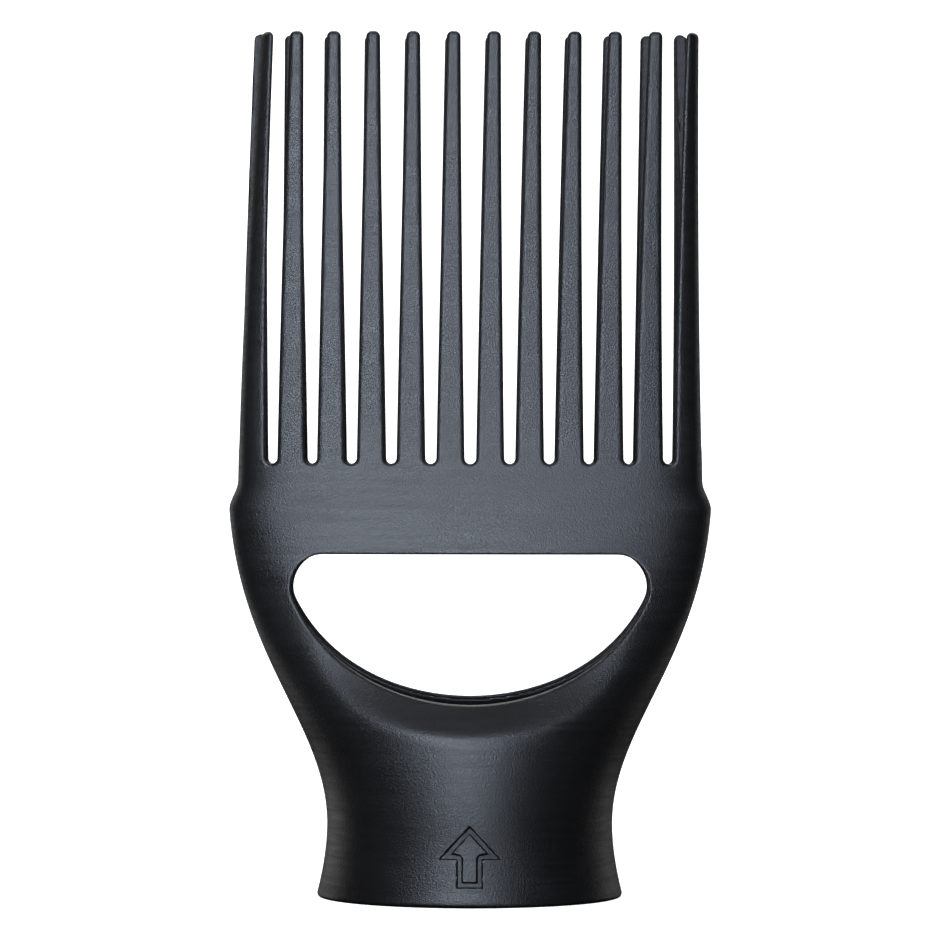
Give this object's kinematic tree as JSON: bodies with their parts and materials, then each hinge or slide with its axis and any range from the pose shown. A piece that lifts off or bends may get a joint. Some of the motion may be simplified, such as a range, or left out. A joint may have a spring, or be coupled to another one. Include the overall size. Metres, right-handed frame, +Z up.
{
  "type": "hair dryer comb nozzle",
  "caption": "Push-on comb nozzle for a hair dryer: round gripping collar, flared neck, see-through D-shaped window and a flat head with two rows of long tapered teeth.",
  "frame": {"origin": "middle of the collar's rim, on the plane that the nozzle stands on", "axes": "+Z up along the collar's axis to the tooth tips, +X along the rows of teeth, -Y out of the front shell with the arrow"},
  "size_m": [0.0878, 0.0554, 0.1574],
  "materials": {
    "shell_plastic": "moulded, fine spark-eroded grain, blue-black",
    "liner_plastic": "moulded, heat resistant, plain matt",
    "spring_steel": "rolled spring strip"
  },
  "bodies": {
    "comb_body": {"front_shell": "shell_plastic", "rear_shell": "shell_plastic", "front_tooth_01": "shell_plastic", "front_tooth_02": "shell_plastic", "front_tooth_03": "shell_plastic", "front_tooth_04": "shell_plastic", "front_tooth_05": "shell_plastic", "front_tooth_06": "shell_plastic", "front_tooth_07": "shell_plastic", "front_tooth_08": "shell_plastic", "front_tooth_09": "shell_plastic", "front_tooth_10": "shell_plastic", "front_tooth_11": "shell_plastic", "front_tooth_12": "shell_plastic", "rear_tooth_01": "shell_plastic", "rear_tooth_02": "shell_plastic", "rear_tooth_03": "shell_plastic", "rear_tooth_04": "shell_plastic", "rear_tooth_05": "shell_plastic", "rear_tooth_06": "shell_plastic", "rear_tooth_07": "shell_plastic", "rear_tooth_08": "shell_plastic", "rear_tooth_09": "shell_plastic", "rear_tooth_10": "shell_plastic", "rear_tooth_11": "shell_plastic", "rear_tooth_12": "shell_plastic", "inner_duct": "liner_plastic"},
    "sleeve": {"barrel_sleeve": "liner_plastic", "spring_band": "spring_steel"}
  },
  "joints": [
    {"name": "sleeve_turn", "type": "hinge", "parent": "comb_body", "child": "sleeve", "pos_m": [0, 0, 0.02], "axis": [0, 0, 1], "continuous": true}
  ]
}
